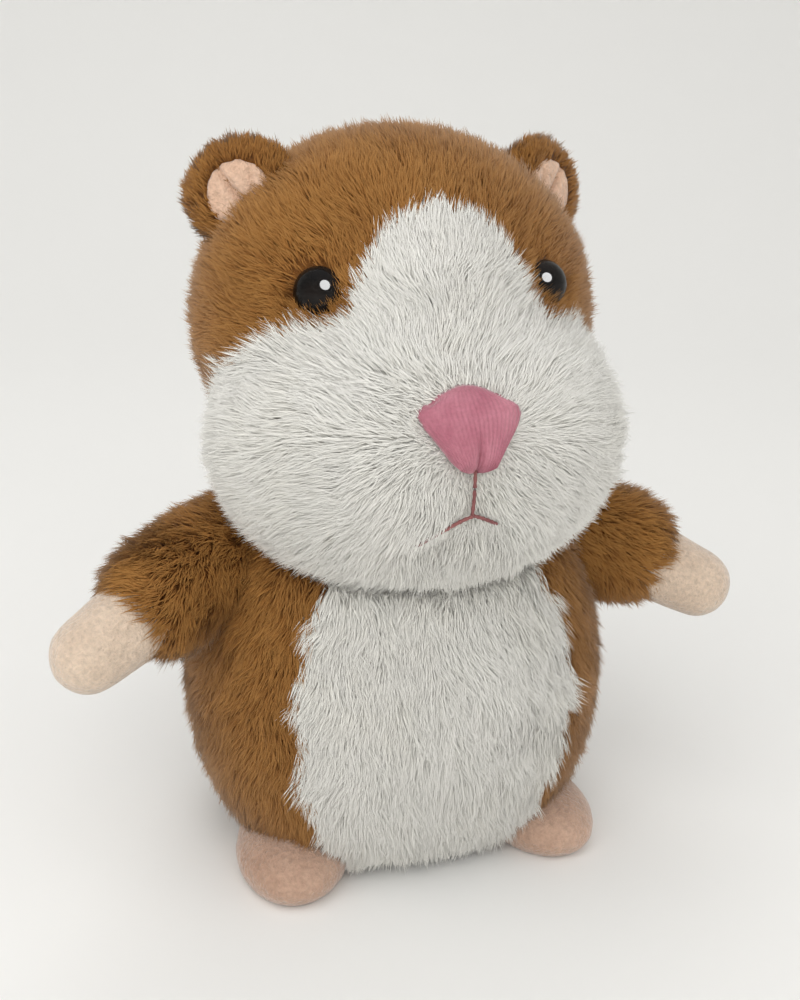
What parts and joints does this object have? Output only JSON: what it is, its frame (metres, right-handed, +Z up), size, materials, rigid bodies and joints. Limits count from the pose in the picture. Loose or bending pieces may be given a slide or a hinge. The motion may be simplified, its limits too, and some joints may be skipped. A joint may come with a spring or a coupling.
{
  "type": "interactive plush pet",
  "caption": "Stuffed upright hamster that repeats sounds and nods its head, with a geared motor, speaker and battery base inside",
  "frame": {"origin": "on the floor under the middle of the whole toy", "axes": "+Z up, the face looks along -Y, +X is the toy's own left"},
  "size_m": [0.1572, 0.0884, 0.1583],
  "materials": {
    "brown_plush": "matte",
    "white_plush": "matte",
    "paw_velour": "matte",
    "foot_velour": "matte",
    "ear_velour": "matte",
    "stuffing": "matte",
    "eye_gloss": "gloss",
    "washer_plastic": "satin",
    "nose_embroidery": "satin",
    "mouth_embroidery": "matte",
    "case_plastic": "satin",
    "gear_plastic": "satin",
    "motor_metal": "satin",
    "steel": "satin",
    "contact_metal": "gloss",
    "cell_jacket": "satin",
    "board_green": "satin",
    "component_black": "satin",
    "speaker_metal": "satin",
    "speaker_paper": "matte",
    "wire_insulation": "satin"
  },
  "bodies": {
    "body": {"lower_housing": "case_plastic", "front_housing": "case_plastic", "rear_housing": "case_plastic", "neck_bracket": "case_plastic", "battery_cells": "cell_jacket", "contact_springs": "contact_metal", "contact_plates": "contact_metal", "gearbox_frame": "gear_plastic", "motor_can": "motor_metal", "motor_end_cap": "gear_plastic", "motor_strap": "motor_metal", "gear_axles": "steel", "circuit_board": "board_green", "board_components": "component_black", "speaker_basket": "speaker_metal", "speaker_magnet": "speaker_metal", "speaker_cone": "speaker_paper", "microphone": "speaker_metal", "power_switch": "component_black", "wiring": "wire_insulation", "housing_screws": "steel", "neck_pin": "steel", "neck_pin_clips": "steel", "body_skin": "brown_plush", "belly_panel": "white_plush", "body_stuffing": "stuffing", "left_foot": "foot_velour", "right_foot": "foot_velour"},
    "head": {"head_lever": "gear_plastic", "head_frame": "gear_plastic", "lever_screws": "steel", "head_skin": "brown_plush", "face_panel": "white_plush", "head_stuffing": "stuffing", "left_ear": "brown_plush", "right_ear": "brown_plush", "left_ear_lining": "ear_velour", "right_ear_lining": "ear_velour", "left_eye": "eye_gloss", "right_eye": "eye_gloss", "eye_washers": "washer_plastic", "nose": "nose_embroidery", "mouth_thread": "mouth_embroidery"},
    "motor_shaft": {"motor_pinion": "steel"},
    "first_gear": {"first_gear": "gear_plastic"},
    "second_gear": {"second_gear": "gear_plastic"},
    "crank": {"crank_gear": "gear_plastic"},
    "switch": {"switch_knob": "component_black"},
    "door": {"battery_door": "case_plastic", "door_screw": "steel"},
    "left_arm": {"left_sleeve": "brown_plush", "left_paw": "paw_velour", "left_arm_stuffing": "stuffing"},
    "right_arm": {"right_sleeve": "brown_plush", "right_paw": "paw_velour", "right_arm_stuffing": "stuffing"}
  },
  "joints": [
    {"name": "head_nod", "type": "hinge", "parent": "body", "child": "head", "pos_m": [0, 0.00794, 0.09], "axis": [1, 0, 0], "range_deg": [-6, 6]},
    {"name": "crank_turn", "type": "hinge", "parent": "body", "child": "crank", "pos_m": [0, 0.00794, 0.054], "axis": [1, 0, 0], "range_deg": [-90, 90]},
    {"name": "second_gear_turn", "type": "hinge", "parent": "body", "child": "second_gear", "pos_m": [0, 0.01524, 0.04511], "axis": [1, 0, 0], "range_deg": [-324, 324]},
    {"name": "first_gear_turn", "type": "hinge", "parent": "body", "child": "first_gear", "pos_m": [0, 0.00725, 0.03684], "axis": [1, 0, 0], "range_deg": [-1166.4, 1166.4]},
    {"name": "motor_turn", "type": "hinge", "parent": "body", "child": "motor_shaft", "pos_m": [0, 0.01211, 0.02642], "axis": [1, 0, 0], "range_deg": [-4199.04, 4199.04]},
    {"name": "switch_slide", "type": "slide", "parent": "body", "child": "switch", "axis": [1, 0, 0], "range_m": [0, 0.003]},
    {"name": "door_lift_off", "type": "slide", "parent": "body", "child": "door", "axis": [0, 0, -1], "range_m": [0, 0.012]},
    {"name": "left_arm_swing", "type": "hinge", "parent": "body", "child": "left_arm", "pos_m": [0.0375, 0.00494, 0.069], "axis": [0, 1, 0], "range_deg": [-20, 15], "stiffness_Nm_per_rad": 0.05},
    {"name": "right_arm_swing", "type": "hinge", "parent": "body", "child": "right_arm", "pos_m": [-0.0375, 0.00494, 0.069], "axis": [0, -1, 0], "range_deg": [-20, 15], "stiffness_Nm_per_rad": 0.05}
  ],
  "couplings": [
    {"joint": "crank_turn", "follows": "head_nod", "ratio": 15},
    {"joint": "second_gear_turn", "follows": "head_nod", "ratio": -54},
    {"joint": "first_gear_turn", "follows": "head_nod", "ratio": 194.4},
    {"joint": "motor_turn", "follows": "head_nod", "ratio": -699.84}
  ]
}
